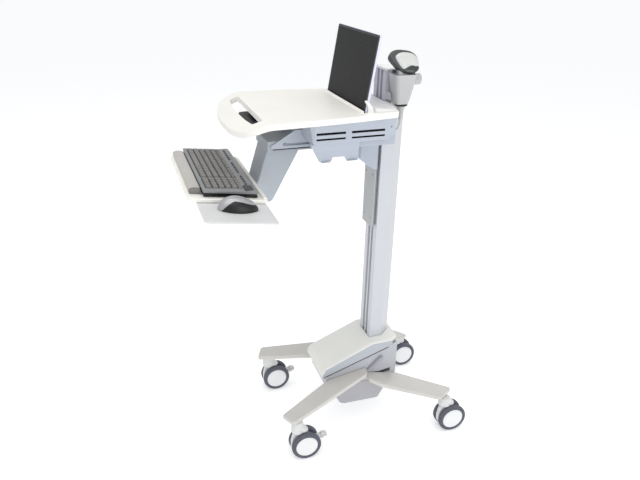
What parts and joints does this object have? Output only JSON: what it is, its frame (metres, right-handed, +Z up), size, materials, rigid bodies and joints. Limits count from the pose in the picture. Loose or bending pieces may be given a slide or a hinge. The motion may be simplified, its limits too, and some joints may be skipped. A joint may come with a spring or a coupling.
{
  "type": "mobile laptop cart",
  "caption": "Height-adjustable hospital workstation cart: column on a four-leg caster base, worksurface with handle slot, laptop bay, keyboard and mouse trays, and a scanner holster.",
  "frame": {"origin": "centre of the plan box, on the floor under the casters", "axes": "+X to the user's right (mouse side), +Y to the back (column side), +Z up"},
  "size_m": [0.5696, 0.925, 1.3517],
  "materials": {
    "white_top": "satin moulded white",
    "bay_paint": "fine-textured pale grey powder coat",
    "arm_paint": "fine-textured grey powder coat",
    "column_aluminium": "satin anodised extrusion",
    "steel": "plain turned or drawn steel",
    "cover_plastic": "fine-textured off-white moulding",
    "tub_paint": "grey powder coat",
    "leg_paint": "satin warm grey powder coat",
    "caster_plastic": "satin light grey moulding",
    "tyre_rubber": "soft blue-grey tread on a pale hub",
    "lever_black": "matt black moulding",
    "laptop_dark": "dark laptop casing",
    "keyboard_grey": "silver-grey frame with dark keys",
    "rest_grey": "soft warm grey foam skin",
    "mouse_silver": "silver top on a black base",
    "holster_grey": "satin light grey",
    "scanner_grey": "dark grey body with an off-white top panel",
    "cable_grey": "soft pale grey jacket",
    "gland_black": "matt black"
  },
  "bodies": {
    "base": {"base_housing": "cover_plastic", "base_cover": "cover_plastic", "base_tub": "tub_paint", "leg_front_right": "leg_paint", "leg_front_left": "leg_paint", "leg_rear_right": "leg_paint", "leg_rear_left": "leg_paint", "side_clip": "arm_paint", "column": "column_aluminium", "column_cap": "cover_plastic", "lift_spring": "steel"},
    "head": {"carriage": "column_aluminium", "carriage_cover": "arm_paint", "head_bracket": "arm_paint", "bay_bracket": "bay_paint", "worksurface": "white_top", "rear_cover": "white_top", "lever_housing": "lever_black", "bay_side_right": "bay_paint", "bay_side_left": "bay_paint", "laptop_tray": "bay_paint", "laptop_base": "laptop_dark", "arm_channel": "arm_paint", "power_supply_bracket": "bay_paint", "holster_bracket": "holster_grey", "scanner_holster": "holster_grey", "cable_gland": "gland_black", "scanner_cable": "cable_grey"},
    "lift_lever": {"lift_lever": "lever_black"},
    "lid": {"laptop_lid": "laptop_dark"},
    "arm": {"keyboard_arm": "arm_paint", "arm_guide_pin": "steel", "tray_hinge_pin": "steel"},
    "tray": {"keyboard_tray": "white_top", "tray_hinge_bracket": "arm_paint", "keyboard": "keyboard_grey", "wrist_rest": "rest_grey"},
    "mouse_tray": {"mouse_tray": "white_top", "mouse": "mouse_silver"},
    "knob": {"holster_knob": "holster_grey"},
    "scanner": {"scanner_body": "scanner_grey"},
    "trigger": {"scanner_trigger": "gland_black"},
    "swivel_front_right": {"caster_front_right_housing": "caster_plastic"},
    "wheels_front_right": {"caster_front_right_axle": "steel", "caster_front_right_wheel_right": "tyre_rubber", "caster_front_right_wheel_left": "tyre_rubber"},
    "brake_front_right": {"caster_front_right_brake_pedal": "caster_plastic"},
    "swivel_front_left": {"caster_front_left_housing": "caster_plastic"},
    "wheels_front_left": {"caster_front_left_axle": "steel", "caster_front_left_wheel_right": "tyre_rubber", "caster_front_left_wheel_left": "tyre_rubber"},
    "brake_front_left": {"caster_front_left_brake_pedal": "caster_plastic"},
    "swivel_rear_right": {"caster_rear_right_housing": "caster_plastic"},
    "wheels_rear_right": {"caster_rear_right_axle": "steel", "caster_rear_right_wheel_right": "tyre_rubber", "caster_rear_right_wheel_left": "tyre_rubber"},
    "swivel_rear_left": {"caster_rear_left_housing": "caster_plastic"},
    "wheels_rear_left": {"caster_rear_left_axle": "steel", "caster_rear_left_wheel_right": "tyre_rubber", "caster_rear_left_wheel_left": "tyre_rubber"}
  },
  "joints": [
    {"name": "head_slide", "type": "slide", "parent": "base", "child": "head", "axis": [0, 0, 1], "range_m": [-0.36, 0.08]},
    {"name": "lift_lever_squeeze", "type": "hinge", "parent": "head", "child": "lift_lever", "pos_m": [-0.05525, -0.23581, 1.112], "axis": [1, 0, 0], "range_deg": [-10, 0], "stiffness_Nm_per_rad": 0.5, "springref_deg": 6.88},
    {"name": "laptop_lid_hinge", "type": "hinge", "parent": "head", "child": "lid", "pos_m": [-0.05525, 0.04419, 1.1118], "axis": [1, 0, 0], "range_deg": [-12, 3.5]},
    {"name": "arm_slide", "type": "slide", "parent": "head", "child": "arm", "axis": [0, 1, 0], "range_m": [0, 0.085]},
    {"name": "keyboard_tray_tilt", "type": "hinge", "parent": "arm", "child": "tray", "pos_m": [-0.05525, -0.23331, 0.888], "axis": [1, 0, 0], "range_deg": [0, 7.3]},
    {"name": "mouse_tray_slide", "type": "slide", "parent": "tray", "child": "mouse_tray", "axis": [1, 0, 0], "range_m": [-0.006, 0.06]},
    {"name": "holster_knob_turn", "type": "hinge", "parent": "head", "child": "knob", "pos_m": [0.00675, 0.24119, 1.213], "axis": [0, 1, 0], "continuous": true},
    {"name": "scanner_lift", "type": "slide", "parent": "head", "child": "scanner", "axis": [0, 0, 1], "range_m": [0, 0.12]},
    {"name": "scanner_trigger_press", "type": "slide", "parent": "scanner", "child": "trigger", "axis": [0, 1, 0], "range_m": [0, 0.0022], "stiffness_N_per_m": 800, "springref_m": -0.001},
    {"name": "swivel_front_right", "type": "hinge", "parent": "base", "child": "swivel_front_right", "pos_m": [0.13725, -0.15181, 0.1], "axis": [0, 0, 1], "continuous": true},
    {"name": "roll_front_right", "type": "hinge", "parent": "swivel_front_right", "child": "wheels_front_right", "pos_m": [0.13725, -0.12481, 0.0508], "axis": [1, 0, 0], "continuous": true},
    {"name": "brake_front_right", "type": "hinge", "parent": "swivel_front_right", "child": "brake_front_right", "pos_m": [0.13725, -0.10481, 0.064], "axis": [1, 0, 0], "range_deg": [0, 18]},
    {"name": "swivel_front_left", "type": "hinge", "parent": "base", "child": "swivel_front_left", "pos_m": [-0.24775, -0.15181, 0.1], "axis": [0, 0, 1], "continuous": true},
    {"name": "roll_front_left", "type": "hinge", "parent": "swivel_front_left", "child": "wheels_front_left", "pos_m": [-0.24775, -0.12481, 0.0508], "axis": [1, 0, 0], "continuous": true},
    {"name": "brake_front_left", "type": "hinge", "parent": "swivel_front_left", "child": "brake_front_left", "pos_m": [-0.24775, -0.10481, 0.064], "axis": [1, 0, 0], "range_deg": [0, 18]},
    {"name": "swivel_rear_right", "type": "hinge", "parent": "base", "child": "swivel_rear_right", "pos_m": [0.14575, 0.38819, 0.1], "axis": [0, 0, 1], "continuous": true},
    {"name": "roll_rear_right", "type": "hinge", "parent": "swivel_rear_right", "child": "wheels_rear_right", "pos_m": [0.14575, 0.41169, 0.0508], "axis": [1, 0, 0], "continuous": true},
    {"name": "swivel_rear_left", "type": "hinge", "parent": "base", "child": "swivel_rear_left", "pos_m": [-0.25625, 0.38819, 0.1], "axis": [0, 0, 1], "continuous": true},
    {"name": "roll_rear_left", "type": "hinge", "parent": "swivel_rear_left", "child": "wheels_rear_left", "pos_m": [-0.25625, 0.41169, 0.0508], "axis": [1, 0, 0], "continuous": true}
  ]
}
